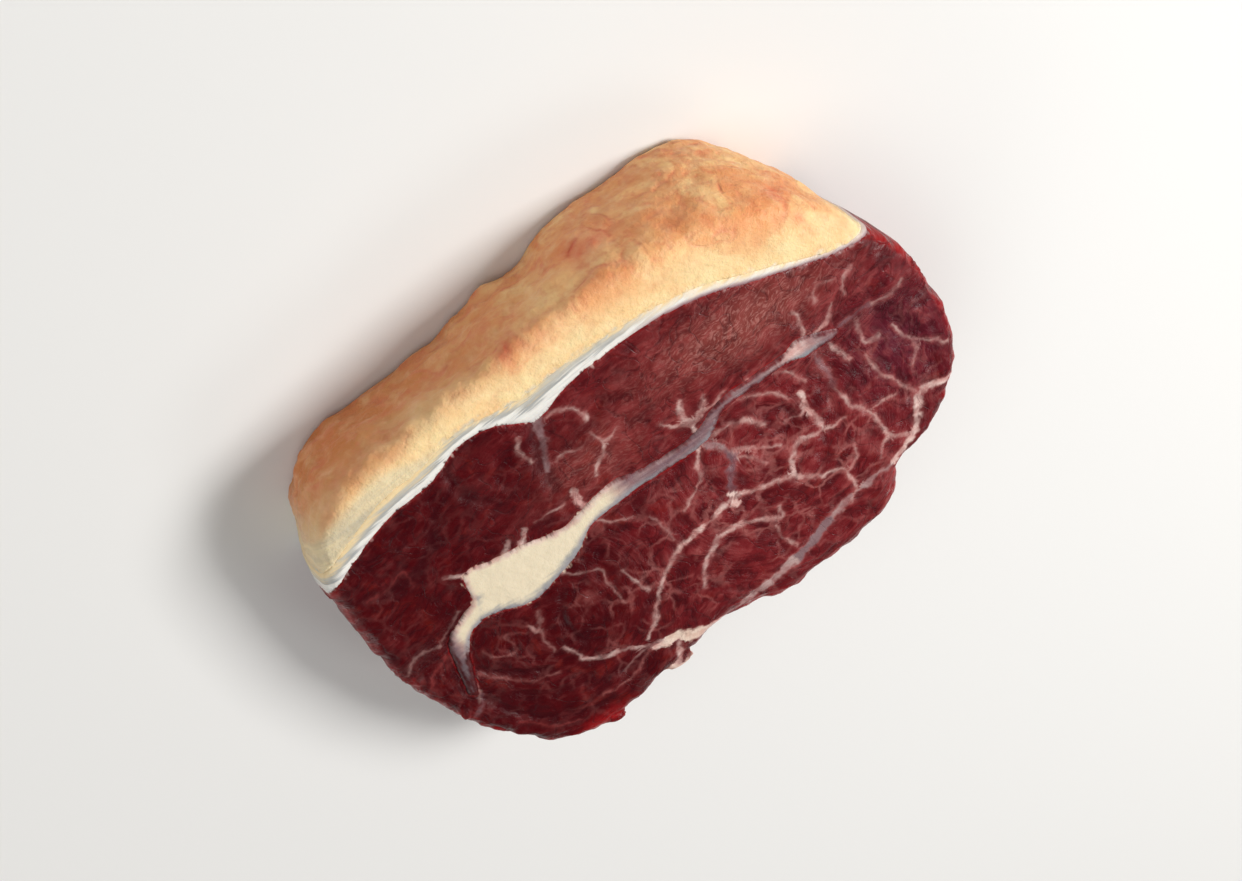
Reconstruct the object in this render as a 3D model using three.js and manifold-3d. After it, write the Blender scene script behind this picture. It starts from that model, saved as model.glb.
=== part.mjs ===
// A raw featherblade steak, cut thick across the muscle and lying on its back cut face, front cut face up.
// Lean meat is split lengthwise by a seam of gristle and soft fat, and one long side carries a fat cap
// over a band of silverskin. Every layer runs through the meat from the top face to the underside.
//
// Millimetres, +Z up. +X runs along the cut to the blunt end, +Y from the fat cap to the far edge.
// The origin is on the underside, under the middle of the steak's box.
import * as THREE from "three";
import { mergeVertices } from "three/addons/utils/BufferGeometryUtils.js";
import Module from "manifold-3d";

const wasm = await Module();
wasm.setup();

// Driving sizes.
const LENGTH = 146; // end to end along the cut
const WIDTH = 108; // fat cap to far edge
const THICKNESS = 29; // between the two cut faces
const GAP = 0.3; // between neighbouring layers

// The knife wandered: the underside is turned a little from the top face, and cut in under the pointed end.
const UNDERSIDE_TURN = 0.09; // radians, anticlockwise
const UNDERCUT = { x: -75, y: -18, reachX: 28, reachY: 26, cutIn: 8.5 };

// The foot of the fat side stands out past its rim in places, and draws back from it where out is negative.
const FOOT_SHIFTS = [
  { x: -50, y: -50, reachX: 12, reachY: 13, out: 4.5 },
  { x: -4, y: -54, reachX: 6, reachY: 10, out: -4 },
  { x: 20, y: -52, reachX: 15, reachY: 11, out: -3.6 },
  { x: 54, y: -48, reachX: 13, reachY: 14, out: 2.4 },
];

// The sides.
const SIDE_BULGE = 1.6;
const FOOT_RADIUS = 3;
const RIM_RADIUS = 3.2;
const FAR_RIM_RADIUS = 7; // where the far edge rolls over
const FAR_ROLL = { x: -20, y: 50, reachX: 30, reachY: 16 };

// The top face slopes down to the blunt end, and each muscle swells or sinks.
const FACE_SLOPE = 0.02;
const SWELLS = [
  { x: -22, y: -21, reachX: 34, reachY: 11, rise: 1.1 }, // muscle beside the cap
  { x: 4, y: 26, reachX: 40, reachY: 15, rise: 1.3 }, // far muscle
  { x: 60, y: 12, reachX: 13, reachY: 26, rise: -1.3 }, // blunt end
  { x: -66, y: 8, reachX: 12, reachY: 24, rise: -0.9 }, // pointed end
  { x: -10, y: -5, reachX: 50, reachY: 4, rise: -0.7 }, // hollow along the seam
];

// The top face's outline, anticlockwise from the fat corner at the pointed end, as shares of LENGTH and WIDTH.
const OUTLINE = [
  [-0.432, -0.315], [-0.37, -0.394], [-0.281, -0.452], [-0.178, -0.483],
  [-0.041, -0.483], [0.089, -0.467], [0.19, -0.453], [0.284, -0.431],
  [0.37, -0.415], [0.442, -0.356], [0.489, -0.204], [0.494, -0.056],
  [0.495, 0.085], [0.477, 0.198], [0.449, 0.313], [0.402, 0.43],
  [0.334, 0.513], [0.253, 0.519], [0.178, 0.499], [0.116, 0.486],
  [0.066, 0.47], [-0.001, 0.47], [-0.089, 0.502], [-0.196, 0.491],
  [-0.281, 0.458], [-0.332, 0.36], [-0.403, 0.323], [-0.452, 0.257],
  [-0.497, 0.178], [-0.508, -0.03], [-0.495, -0.135], [-0.452, -0.245],
];

// Where the lean ends and the silverskin begins, as [x, y] across the cut.
const CAP_LINE = [
  [-90, -17], [-66, -24], [-58, -25.4], [-44, -30.2], [-28, -35.8], [-12, -37.2], [5, -35.2], [14, -32],
  [21, -36.6], [30, -38], [40, -33.6], [50, -32.4], [60, -28.8], [73, -21.5], [90, -10],
];

// How wide the silverskin is on the cut, as [x, width].
const SKIN_WIDTH = [
  [-90, 1.2], [-58, 1.2], [-44, 2.2], [-28, 2.6], [-12, 3.2], [5, 4.8], [14, 7],
  [21, 3.4], [30, 3], [42, 4.6], [60, 4.2], [90, 5],
];

// The seam's two edges on the cut, the cap side's point and then the far side's, from the knot to the thin hook.
const SEAM_EDGES = [
  [[-51, -6.8], [-51, -5.8]], [[-46, -9.6], [-46, -5.2]], [[-42, -11], [-42, -5.4]], [[-38.5, -9.3], [-38.5, -6.6]],
  [[-30, -9], [-30, -6.4]], [[-20.5, -8], [-20, -5]], [[-14.5, -4.2], [-15.5, -1.4]], [[-8, -2.9], [-8.5, -0.2]],
  [[1, -3.8], [1, -0.4]], [[9, -5.2], [9.5, 0]], [[17, -3], [17.5, 1]], [[24, -2], [23.5, 5.6]],
  [[33, -4.6], [31, 8.4]], [[40, -5.4], [38, 10.2]], [[46.5, -6.9], [45, 7.6]], [[48, 1.2], [49.5, 7]],
  [[54, 4.6], [53.4, 8.6]], [[58.8, 8.8], [56, 12.2]], [[60.2, 14.5], [58.2, 17.3]], [[62.2, 24], [61, 25.5]],
];

// How finely the surfaces are cut into facets.
const STATIONS = 96; // round the outline
const ROUND_STEPS = 3; // over a rounded rim or foot
const SIDE_STEPS = 3; // up the side between the two
const FACE_RINGS = 6; // from the rim to the middle of the face
const UNDERSIDE_RINGS = 2;
const CUTTER_STATIONS = 44; // along the cap line
const SEAM_STATIONS = 46;
const CUTTER_LEVELS = 4; // up a cutter's wall
const CUTTER_MARGIN = 6; // that a cutter stands past the steak all round
const CURVE_SAMPLES = 12; // to each point of a line

// Looks: [colour, roughness].
const LEAN_LOOK = ["#6e2226", 0.42];
const FAT_LOOK = ["#dfa671", 0.5];
const SKIN_LOOK = ["#d3cfc4", 0.38];
const GRISTLE_LOOK = ["#e2d5ba", 0.45];

// A bell shape, 1 at its middle and falling off over its two reaches.
function bell(x, y, at) {
  return Math.exp(-(((x - at.x) / at.reachX) ** 2) - ((y - at.y) / at.reachY) ** 2);
}

// The height of the top face.
function faceHeight(x, y) {
  const swell = SWELLS.reduce((sum, at) => sum + at.rise * bell(x, y, at), 0);
  return THICKNESS - FACE_SLOPE * x + swell;
}

// Moves a point of the straight-sided steak to where the wandering knife left it.
function settle(x, y, z) {
  const depth = 1 - z / THICKNESS; // 0 on the top face, 1 on the underside
  const turn = UNDERSIDE_TURN * depth;
  const cutIn = depth * UNDERCUT.cutIn * bell(x, y, UNDERCUT);
  const out = depth * FOOT_SHIFTS.reduce((sum, at) => sum + at.out * bell(x, y, at), 0);
  return new THREE.Vector3(
    x * Math.cos(turn) - y * Math.sin(turn) + cutIn,
    x * Math.sin(turn) + y * Math.cos(turn) - out,
    z,
  );
}

// A smooth height through a row of [x, height] points.
function heightThrough(points) {
  const curve = new THREE.SplineCurve(points.map(([x, y]) => new THREE.Vector2(x, y)));
  const samples = curve.getPoints(points.length * CURVE_SAMPLES);
  return (x) => {
    const i = Math.min(samples.findIndex((p) => p.x > x), samples.length - 1);
    const [a, b] = [samples[i - 1], samples[i]];
    return THREE.MathUtils.mapLinear(x, a.x, b.x, a.y, b.y);
  };
}

// A closed surface through a row of loops with equal counts, fanned shut over the first and the last.
function loft(loops) {
  const count = loops[0].length;
  const middle = (loop) => loop.reduce((sum, p) => sum.add(p), new THREE.Vector3()).divideScalar(count);
  const points = [...loops.flat(), middle(loops[0]), middle(loops.at(-1))];
  const first = points.length - 2;
  const last = points.length - 1;
  const top = (loops.length - 1) * count;
  const triangles = [];
  for (let i = 0; i < count; i++) {
    const j = (i + 1) % count;
    triangles.push(first, j, i, last, top + i, top + j);
    for (let k = 0; k + 1 < loops.length; k++) {
      const [a, b, c, d] = [k * count + i, k * count + j, (k + 1) * count + j, (k + 1) * count + i];
      triangles.push(a, b, c, a, c, d);
    }
  }
  return new THREE.BufferGeometry().setFromPoints(points).setIndex(triangles);
}

// A closed geometry as a solid that can be cut, and back again.
function toSolid(geometry) {
  const merged = mergeVertices(geometry);
  return new wasm.Manifold(
    new wasm.Mesh({
      numProp: 3,
      vertProperties: merged.attributes.position.array,
      triVerts: new Uint32Array(merged.index.array),
    }),
  );
}

function toGeometry(solid) {
  const mesh = solid.getMesh();
  const geometry = new THREE.BufferGeometry();
  geometry.setAttribute("position", new THREE.BufferAttribute(mesh.vertProperties, 3));
  geometry.setIndex(new THREE.BufferAttribute(mesh.triVerts, 1));
  geometry.computeVertexNormals();
  return geometry;
}

// The outline's stations, each with its point and the direction that faces out of the meat.
function outlineStations() {
  const corners = OUTLINE.map(([x, y]) => new THREE.Vector3(x * LENGTH, y * WIDTH, 0));
  const curve = new THREE.CatmullRomCurve3(corners, true, "centripetal");
  return Array.from({ length: STATIONS }, (_, i) => {
    const along = curve.getTangentAt(i / STATIONS);
    return { at: curve.getPointAt(i / STATIONS), out: new THREE.Vector3(along.y, -along.x, 0) };
  });
}

// One side's profile from the underside to the top face, as [inset, height] rows.
function sideProfile(height, rimRadius) {
  const rows = [];
  for (let i = 0; i <= ROUND_STEPS; i++) {
    const angle = (Math.PI / 2) * (1 - i / ROUND_STEPS);
    rows.push([FOOT_RADIUS * (1 - Math.cos(angle)), FOOT_RADIUS * (1 - Math.sin(angle))]);
  }
  for (let i = 1; i <= SIDE_STEPS; i++) {
    rows.push([0, THREE.MathUtils.lerp(FOOT_RADIUS, height - rimRadius, i / SIDE_STEPS)]);
  }
  for (let i = 1; i <= ROUND_STEPS; i++) {
    const angle = (Math.PI / 2) * (i / ROUND_STEPS);
    rows.push([rimRadius * (1 - Math.cos(angle)), height - rimRadius * (1 - Math.sin(angle))]);
  }
  return rows.map(([inset, z]) => [inset - SIDE_BULGE * Math.sin((Math.PI * z) / height), z]);
}

// The whole steak before it is divided into its layers.
function wholeSteak() {
  const sides = outlineStations().map(({ at, out }) => {
    const rimRadius = THREE.MathUtils.lerp(RIM_RADIUS, FAR_RIM_RADIUS, bell(at.x, at.y, FAR_ROLL));
    return sideProfile(faceHeight(at.x, at.y), rimRadius).map(([inset, z]) => ({
      x: at.x - out.x * inset,
      y: at.y - out.y * inset,
      z,
    }));
  });
  const levels = sides[0].map((_, level) => sides.map((side) => side[level]));
  const shrunk = (loop, share, heightOf) =>
    loop.map((p) => settle(p.x * share, p.y * share, heightOf(p.x * share, p.y * share)));
  const loops = [];
  for (let ring = 1; ring <= UNDERSIDE_RINGS; ring++) {
    loops.push(shrunk(levels[0], ring / (UNDERSIDE_RINGS + 1), () => 0));
  }
  levels.forEach((loop) => loops.push(loop.map((p) => settle(p.x, p.y, p.z))));
  for (let ring = FACE_RINGS; ring >= 1; ring--) {
    loops.push(shrunk(levels.at(-1), ring / (FACE_RINGS + 1), faceHeight));
  }
  return toSolid(loft(loops));
}

// A cutter between two walls, each given as a row of [x, y] stations along the cut.
function cutter(farWall, capWall) {
  const heights = Array.from({ length: CUTTER_LEVELS }, (_, i) =>
    THREE.MathUtils.lerp(-CUTTER_MARGIN, THICKNESS + CUTTER_MARGIN, i / (CUTTER_LEVELS - 1)),
  );
  const loops = farWall.map(([x, y], i) => [
    ...heights.map((z) => settle(x, y, z)),
    ...heights.toReversed().map((z) => settle(...capWall[i], z)),
  ]);
  return toSolid(loft(loops));
}

// Everything beyond a line across the cut: side is 1 for the far side of it and -1 for the cap side.
function beyond(lineAt, side) {
  const wall = Array.from({ length: CUTTER_STATIONS + 1 }, (_, i) => {
    const x = THREE.MathUtils.lerp(-1, 1, i / CUTTER_STATIONS) * (LENGTH / 2 + CUTTER_MARGIN);
    return [x, lineAt(x)];
  });
  const back = wall.map(([x]) => [x, side * WIDTH]);
  return side > 0 ? cutter(back, wall) : cutter(wall, back);
}

// One edge of the seam, 0 for the cap side's and 1 for the far side's, moved out of the seam by a margin.
function seamEdge(side, margin) {
  const points = SEAM_EDGES.map((pair) => new THREE.Vector2(...pair[side]));
  const row = new THREE.SplineCurve(points).getPoints(SEAM_STATIONS);
  const outward = side === 1 ? margin : -margin;
  const moved = row.map((p, i) => {
    const along = row[Math.min(i + 1, row.length - 1)].clone().sub(row[Math.max(i - 1, 0)]).normalize();
    return p.clone().add(new THREE.Vector2(-along.y, along.x).multiplyScalar(outward));
  });
  const before = moved[0].clone().sub(moved[1]).setLength(margin).add(moved[0]);
  const after = moved.at(-1).clone().sub(moved.at(-2)).setLength(margin).add(moved.at(-1));
  return (margin > 0 ? [before, ...moved, after] : moved).map((p) => p.toArray());
}

// The seam's ribbon, grown by a margin all round.
const seamRibbon = (margin) => cutter(seamEdge(1, margin), seamEdge(0, margin));

// One layer of the steak as a named mesh.
function piece(name, solid, [color, roughness]) {
  const mesh = new THREE.Mesh(
    toGeometry(solid),
    new THREE.MeshStandardMaterial({ color, roughness, metalness: 0 }),
  );
  mesh.name = name;
  return mesh;
}

const capLineAt = heightThrough(CAP_LINE);
const skinWidthAt = heightThrough(SKIN_WIDTH);
const skinLineAt = (x) => capLineAt(x) - skinWidthAt(x);
const shifted = (lineAt, distance) => (x) => lineAt(x) + distance;

const whole = wholeSteak();
const seam = whole.intersect(seamRibbon(0));
const lean = whole.intersect(beyond(shifted(capLineAt, GAP / 2), 1)).subtract(seamRibbon(GAP));
const skin = whole
  .intersect(beyond(shifted(capLineAt, -GAP / 2), -1))
  .intersect(beyond(shifted(skinLineAt, GAP / 2), 1));
const fat = whole.intersect(beyond(shifted(skinLineAt, -GAP / 2), -1));

const steak = new THREE.Group();
steak.add(piece("lean_meat", lean, LEAN_LOOK));
steak.add(piece("fat_cap", fat, FAT_LOOK));
steak.add(piece("silverskin", skin, SKIN_LOOK));
steak.add(piece("gristle_seam", seam, GRISTLE_LOOK));

// The origin goes under the middle of the steak's box.
const middle = new THREE.Box3().setFromObject(steak).getCenter(new THREE.Vector3());
steak.position.set(-middle.x, -middle.y, 0);

export default steak;
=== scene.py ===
"""The looks of a raw featherblade steak: marbled lean, a seam of gristle, silverskin and a fat cap."""
import math

import bmesh
import bpy
import numpy as np
from mathutils import Matrix, Vector
from mathutils.bvhtree import BVHTree
from mathutils.kdtree import KDTree


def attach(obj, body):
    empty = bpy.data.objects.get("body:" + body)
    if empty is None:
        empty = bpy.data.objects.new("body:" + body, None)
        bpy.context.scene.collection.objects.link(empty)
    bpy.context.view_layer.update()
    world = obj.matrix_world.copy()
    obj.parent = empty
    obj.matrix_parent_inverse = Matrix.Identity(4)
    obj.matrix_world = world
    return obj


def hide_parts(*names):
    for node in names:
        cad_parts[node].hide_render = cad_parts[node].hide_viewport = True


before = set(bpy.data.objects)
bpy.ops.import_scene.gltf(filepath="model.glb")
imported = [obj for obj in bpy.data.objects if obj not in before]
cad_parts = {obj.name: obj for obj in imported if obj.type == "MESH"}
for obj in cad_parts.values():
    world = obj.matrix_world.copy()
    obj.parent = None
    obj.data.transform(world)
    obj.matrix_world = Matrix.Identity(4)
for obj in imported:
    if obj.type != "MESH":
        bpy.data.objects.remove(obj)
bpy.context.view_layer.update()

MM = 0.001

# How the cut's own axes lie in the frame, in millimetres: the lines below are drawn on the top face.
CUT_SHIFT = (0.33, -2.58)
THICKNESS = 29.0
UNDERSIDE_TURN = 0.09  # radians, the underside against the top face
UNDERCUT = {"x": -75, "y": -18, "reach_x": 28, "reach_y": 26, "cut_in": 8.5}

# Patterns of the lean run down through the meat: their change with depth, as a share of that across the cut.
DEPTH_RUN = 0.15

# Fineness of each piece's mesh, in millimetres.
LEAN_VOXEL = 0.56
FAT_VOXEL = 0.46
SKIN_VOXEL = 0.4
SEAM_VOXEL = 0.4
THINNED = 0.9  # share of the unseen triangles that are left out

# Two layers hide each other's faces between these heights, where they are nearer than this, in millimetres.
HIDDEN_HEIGHTS = (3, 26)
HIDDEN_GAP = 0.7

# Strands of marbling on the cut, all in millimetres: half width at the start, half width at the end, greyness
# (1 is slate, 0 is white, and below 0 the strand is flushed with flesh), points.
STRANDS = [
    # the thick strand round the far end, and what meets it
    (0.5, 1.2, 0.0, [(-71, 26), (-65.5, 23), (-60.5, 22.5), (-58, 27), (-55, 31.5), (-51, 34), (-47, 36)]),
    (0.2, 0.35, 0.0, [(-54, 4.5), (-54.5, 10), (-56.5, 14.5), (-60.5, 22.5)]),
    (0.25, 0.3, 0.0, [(-62.5, 1.5), (-63, 5.5), (-65, 8), (-68, 10.5), (-71, 14)]),
    (0.3, 0.2, 0.2, [(-65, 8), (-64.5, 11), (-62, 13.5)]),
    (0.5, 0.35, 0.9, [(-44, -3.5), (-44.5, 1), (-44.5, 7)]),
    (0.3, 0.5, 0.0, [(-44.5, 7), (-45.5, 13.5), (-48, 17.5), (-49, 22.5), (-50, 28), (-53.5, 30.5)]),
    (0.25, 0.2, 0.0, [(-48, 17.5), (-51.5, 18), (-55, 18.5)]),
    (0.35, 0.2, 0.0, [(-50, 28), (-47.5, 29), (-46, 31.5)]),
    (0.5, 0.3, 0.1, [(-46, -7.5), (-48.5, -3), (-50, 2)]),
    (0.3, 0.45, 0.1, [(-55.5, -5), (-55, -1), (-55.5, 1.5), (-58, 1.5)]),
    # the seam's thin end
    (0.6, 0.4, 1.0, [(-48, -7), (-56, -7.5), (-60, -7.5)]),
    (0.35, 0.25, 0.2, [(-60, -7.5), (-65, -7), (-68, -8.5)]),
    (0.4, 0.25, 0.0, [(-44, -10), (-44.5, -15), (-44.5, -18.5)]),
    (0.5, 0.2, 0.0, [(-45, -9.5), (-50, -11), (-52.5, -14)]),
    (0.3, 0.25, 0.1, [(-59.5, -20), (-57, -18.5), (-56, -15)]),
    (0.2, 0.2, 0.0, [(-49.5, -18), (-50.5, -20.5), (-52.5, -21), (-55, -20)]),
    # the far muscle
    (0.6, 0.5, 0.0, [(-37, 3), (-36.5, 7), (-37.5, 11), (-37.5, 15)]),
    (0.4, 0.2, 0.0, [(-36.5, 7), (-34.5, 8), (-31.5, 7)]),
    (0.5, 0.2, 0.0, [(-37.5, 15), (-39.5, 16), (-42.5, 15.5)]),
    (0.35, 0.7, 0.1, [(-37.5, 15), (-34, 14.5), (-31.5, 14), (-29.5, 15.5), (-27.5, 18), (-26.5, 21.5)]),
    (0.5, 0.35, 0.0, [
        (-26.5, 21.5), (-29.5, 24.5), (-33.5, 27), (-36.5, 28), (-37.5, 31.5), (-37.5, 35.5), (-35, 38.5),
    ]),
    (0.2, 0.2, 0.0, [(-42, 23), (-41, 27), (-38, 29.5)]),
    # the star at the seam's bend
    (0.8, 0.5, 0.1, [(-13, -2), (-13.5, -7), (-12, -11), (-13.5, -14.5)]),
    (0.8, 0.3, 0.1, [(-13.5, -6), (-16.5, -9), (-18.5, -12.5)]),
    (0.6, 0.3, 0.0, [(-13, -7), (-9.5, -9.5), (-8, -12)]),
    (0.5, 0.2, 0.0, [(-16, -9), (-19.5, -8.5), (-22.5, -10)]),
    (1.0, 0.8, 0.7, [(-12.5, -2), (-15.5, 3), (-18, 7.5)]),
    (0.9, 0.8, 1.0, [(-16.5, 5), (-17, 8), (-14.5, 11), (-13, 15)]),
    (0.3, 0.25, 0.1, [(-18, 5.5), (-22.5, 8.5), (-27, 12)]),
    (0.3, 0.2, 0.1, [(-18, 8), (-20.5, 10), (-22.5, 13.5)]),
    (0.4, 0.25, 0.0, [(-14, -2), (-17.5, -1), (-20.5, -0.5), (-23.5, 0.5), (-26.5, 4)]),
    (0.25, 0.2, 0.0, [(-18, -5), (-23.5, -5.5), (-28.5, -3.5), (-32.5, -1), (-34, 1.5)]),
    (0.35, 0.25, 0.0, [(-29, -9), (-34, -6.5), (-37, -4), (-39, 0)]),
    (0.5, 0.3, 0.0, [(-12, -1), (-9.5, 3.5), (-8, 7.5), (-5, 9.5), (-2, 12)]),
    # from the bright spot to the blunt end
    (1.3, 1.3, 0.0, [(-12.5, 16), (-12, 18)]),
    (0.7, 0.35, 0.0, [(-12, 17), (-15, 18), (-19, 19), (-22.5, 20), (-26.5, 21.5)]),
    (0.8, 0.4, 0.0, [(-12, 17), (-8.5, 17.5), (-4.5, 19), (1, 20), (5, 21), (8, 23), (10.5, 25)]),
    (0.55, 0.4, 0.1, [(10.5, 25), (14, 29), (17.5, 35), (21.5, 39)]),
    (0.3, 0.7, 0.2, [(4, 35), (2.5, 31), (-0.5, 27.5), (-5, 24.5)]),
    (0.7, 0.3, 0.1, [(-5, 24.5), (-9.5, 24.5), (-13.5, 26), (-17, 28.5), (-19.5, 30), (-20, 27)]),
    (0.3, 0.2, 0.0, [(-17, 32), (-17, 36), (-18.5, 40)]),
    (0.2, 0.2, 0.2, [(5.5, 9), (4.5, 13), (4, 17)]),
    (0.2, 0.2, 0.1, [(16, 0.5), (13, 4), (9.5, 5.5)]),
    # the silver line inside the rolled far edge
    (0.5, 1.3, 0.6, [(-47, 36), (-42.5, 36), (-37.5, 37), (-33, 38), (-29, 39.5)]),
    (1.4, 1.4, 0.9, [(-29, 39.5), (-25.5, 41), (-21.5, 42.5), (-17, 44)]),
    (1.3, 0.7, 0.5, [(-17, 44), (-12, 45.5), (-6.5, 46.5), (-1, 47.5), (4, 48.5)]),
    # the white fleck near the far edge and its tails
    (0.8, 2.3, 0.0, [(4, 48.5), (8.5, 48.5), (12, 47), (15, 45.5)]),
    (2.3, 1.3, 0.0, [(15, 45.5), (17, 44), (19.5, 43.5), (21.5, 43)]),
    (0.7, 0.35, 0.2, [
        (21.5, 42.5), (25, 40), (29.5, 37.5), (33.5, 36), (36.5, 34), (37, 30.5), (38.5, 27.5),
    ]),
    (0.5, 0.2, 0.3, [(20, 42.5), (23, 42), (27, 43), (30, 44.5)]),
    (0.9, 0.8, 0.0, [(16.5, 46), (17.5, 49.5), (19, 52)]),
    (1.6, 1.6, 0.0, [(22.5, 54.5), (19, 54), (15, 54.5)]),
    # the muscle beside the cap
    (1.3, 0.5, 0.8, [(13, -35), (14.5, -29), (16, -25), (18, -19)]),
    (0.3, 0.45, 0.1, [(11.5, -31.5), (9.5, -31.5), (7.5, -30.5), (5.5, -28.5), (5, -25.5)]),
    (0.3, 0.45, 0.0, [(6, -21), (5, -17.5), (6, -14.5), (8, -13), (10, -10.5)]),
    (0.3, 0.15, 0.0, [(5, -17.5), (3, -17), (1, -18.5)]),
    (0.2, 0.25, 0.0, [(15, -20), (13, -20.5), (10, -19.5)]),
    (0.25, 0.3, 0.0, [(19.5, -30.5), (21, -27.5), (20, -23.5)]),
    (0.9, 0.6, 0.0, [(16, -9), (16, -6), (16, -3)]),
    (1.3, 0.3, 0.0, [(34, -2), (32, -5), (30, -8)]),
    (1.1, 0.3, 0.0, [(37.5, -3), (36, -5.5), (34.5, -7.5)]),
    (0.8, 0.2, 0.0, [(46, -6), (48.5, -8), (50, -9)]),
    (0.15, 0.2, 0.0, [(26.5, -8.5), (23.5, -8), (20, -8)]),
    (0.2, 0.2, -1.0, [(56.5, -12.5), (56.5, -17.5), (61.5, -15), (66, -15.5)]),
    (0.35, 0.2, -0.4, [(70, 8.5), (67, 6), (64.5, 6), (61, 7)]),
    (0.2, 0.2, -0.4, [(53, 2), (55, 3), (59, 6)]),
    # the blunt end
    (0.6, 0.4, 0.9, [(61, 23), (60.5, 25.5), (61.5, 28.5), (64, 30.5)]),
    (0.3, 0.4, 0.0, [(57.5, 12.5), (59.5, 17), (60, 21), (60.5, 25.5), (61.5, 28)]),
    (0.4, 0.3, -0.4, [(42, 16.5), (41, 18.5), (39.5, 17), (38.5, 14)]),
    (0.25, 0.2, -0.5, [(40.5, 19.5), (41, 22.5), (41, 26)]),
    (0.25, 0.2, -0.3, [(29.5, 8), (26, 10.5), (21.5, 13.5), (21.5, 17.5), (21, 25)]),
    (0.3, 0.35, 0.1, [(17.5, 17.5), (16.5, 21.5), (15.5, 26)]),
    (0.4, 0.3, -0.8, [(57.5, 21), (54, 25.5), (49, 30.5), (43.5, 33)]),
    (0.3, 0.3, -0.8, [(37.5, 47), (34, 47.5), (28.5, 46.5), (23.5, 43.5)]),
    (0.25, 0.25, -0.7, [(47.5, 15.5), (47, 18.5), (47.5, 20.5), (49.5, 20.5), (52.5, 18.5), (53.5, 16)]),
    (0.3, 0.2, -1.0, [(62, 11), (65.5, 13), (69, 17)]),
    (0.25, 0.2, -1.0, [(57, 40), (52, 46), (46, 50)]),
]
STRAND_STEP = 0.25  # millimetres between samples along a strand

# Folds where the cut dips between bundles of fibre: depth, half width, points.
FOLDS = [
    (0.5, 1.4, [(14.5, -34), (16, -28), (18.5, -22), (19, -14)]),
    (0.4, 1.3, [(36, -36), (36, -26), (31, -19)]),
    (0.4, 1.6, [(66, -16), (58, -14), (50, -17), (44, -24)]),
    (0.5, 1.0, [(57.5, 19), (54.5, 22.5), (51, 26), (48, 28), (44.5, 30)]),
    (0.35, 1.2, [(54, 31), (49.5, 36), (43, 39), (37, 39.5)]),
    (0.5, 1.2, [(60, 27), (58, 34), (55, 39.5), (51, 44), (46, 47), (41.5, 49), (37, 49.5)]),
    (0.4, 0.9, [(38.5, 43), (33, 43), (29.5, 44), (25, 44)]),
    (0.25, 0.8, [(57, 6), (59, 10), (61, 14.5), (62, 19)]),
    (0.3, 1.0, [(31, 12), (35, 20), (34, 28), (28, 33)]),
    (0.35, 1.0, [(-16, 2), (-25, -1), (-32, 3), (-33, 10)]),
    (0.4, 1.2, [(-46, 2), (-42, 9), (-42, 17)]),
    (0.35, 1.2, [(-1, 29), (-8, 28), (-15, 32), (-16, 40)]),
]

# Scraps of flesh that stand out past the rim: middle, half sizes, and heading in degrees.
SCRAPS = [
    ((41, 55.5, 26), (5.2, 1.7, 1.5), -30),
    ((18.8, 53.6, 27), (4.0, 1.0, 1.4), 3),
    ((65.5, 28.5, 27), (1.6, 1.0, 1.0), 60),
    ((58.5, 39.5, 27), (2.0, 1.0, 1.0), 55),
    ((69.3, 12, 27), (1.8, 0.9, 0.9), 80),
]

# Red blotches on the outside of the fat: strength, middle in the frame, reach.
BLOTCHES = [
    (1.0, (-17.5, -57, 18), (4, 5, 3)),
    (0.8, (-12, -57, 17), (3, 5, 5)),
    (0.9, (12, -53, 27), (2.5, 4, 2)),
    (0.9, (-54, -46, 24), (3, 4, 2.5)),
    (0.8, (-55.4, -41, 30), (1.5, 1.5, 1.5)),
]


def srgb(red, green, blue):
    """A screen colour, 0 to 255, as the linear colour that a shader takes."""
    shares = (red / 255, green / 255, blue / 255)
    return (*(c / 12.92 if c <= 0.04045 else ((c + 0.055) / 1.055) ** 2.4 for c in shares), 1.0)


# ---------------------------------------------------------------- meshes

def add_object(name, data):
    """Puts a mesh, a light or a camera in the scene."""
    made = bpy.data.objects.new(name, data)
    bpy.context.scene.collection.objects.link(made)
    return made


def applied(piece):
    """Turns a piece's modifiers into its plain mesh."""
    graph = bpy.context.evaluated_depsgraph_get()
    mesh = bpy.data.meshes.new_from_object(piece.evaluated_get(graph))
    old = piece.data
    piece.modifiers.clear()
    piece.data = mesh
    bpy.data.meshes.remove(old)


def places(mesh):
    """Every vertex of a mesh, in millimetres."""
    flat = np.empty(len(mesh.vertices) * 3, np.float32)
    mesh.vertices.foreach_get("co", flat)
    return flat.reshape(-1, 3).astype(float) / MM


def put_places(mesh, points):
    """Moves every vertex of a mesh to its place in millimetres."""
    mesh.vertices.foreach_set("co", (points * MM).astype(np.float32).ravel())
    mesh.update()


def normals(mesh):
    """The direction that each vertex of a mesh faces."""
    flat = np.empty(len(mesh.vertices) * 3, np.float32)
    mesh.vertex_normals.foreach_get("vector", flat)
    return flat.reshape(-1, 3).astype(float)


def store(mesh, **fields):
    """Keeps a number or a vector on each vertex, for shaders and trees to read."""
    for name, values in fields.items():
        kind, key = ("FLOAT", "value") if values.ndim == 1 else ("FLOAT_VECTOR", "vector")
        attribute = mesh.attributes.new(name, kind, "POINT")
        attribute.data.foreach_set(key, values.astype(np.float32).ravel())


def closed_copy(name, node):
    """A copy of a solid with its loose triangles merged into one closed mesh."""
    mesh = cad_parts[node].data.copy()
    mesh.materials.clear()
    shape = bmesh.new()
    shape.from_mesh(mesh)
    bmesh.ops.remove_doubles(shape, verts=shape.verts, dist=0.001 * MM)
    shape.to_mesh(mesh)
    shape.free()
    return add_object(name, mesh)


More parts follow.
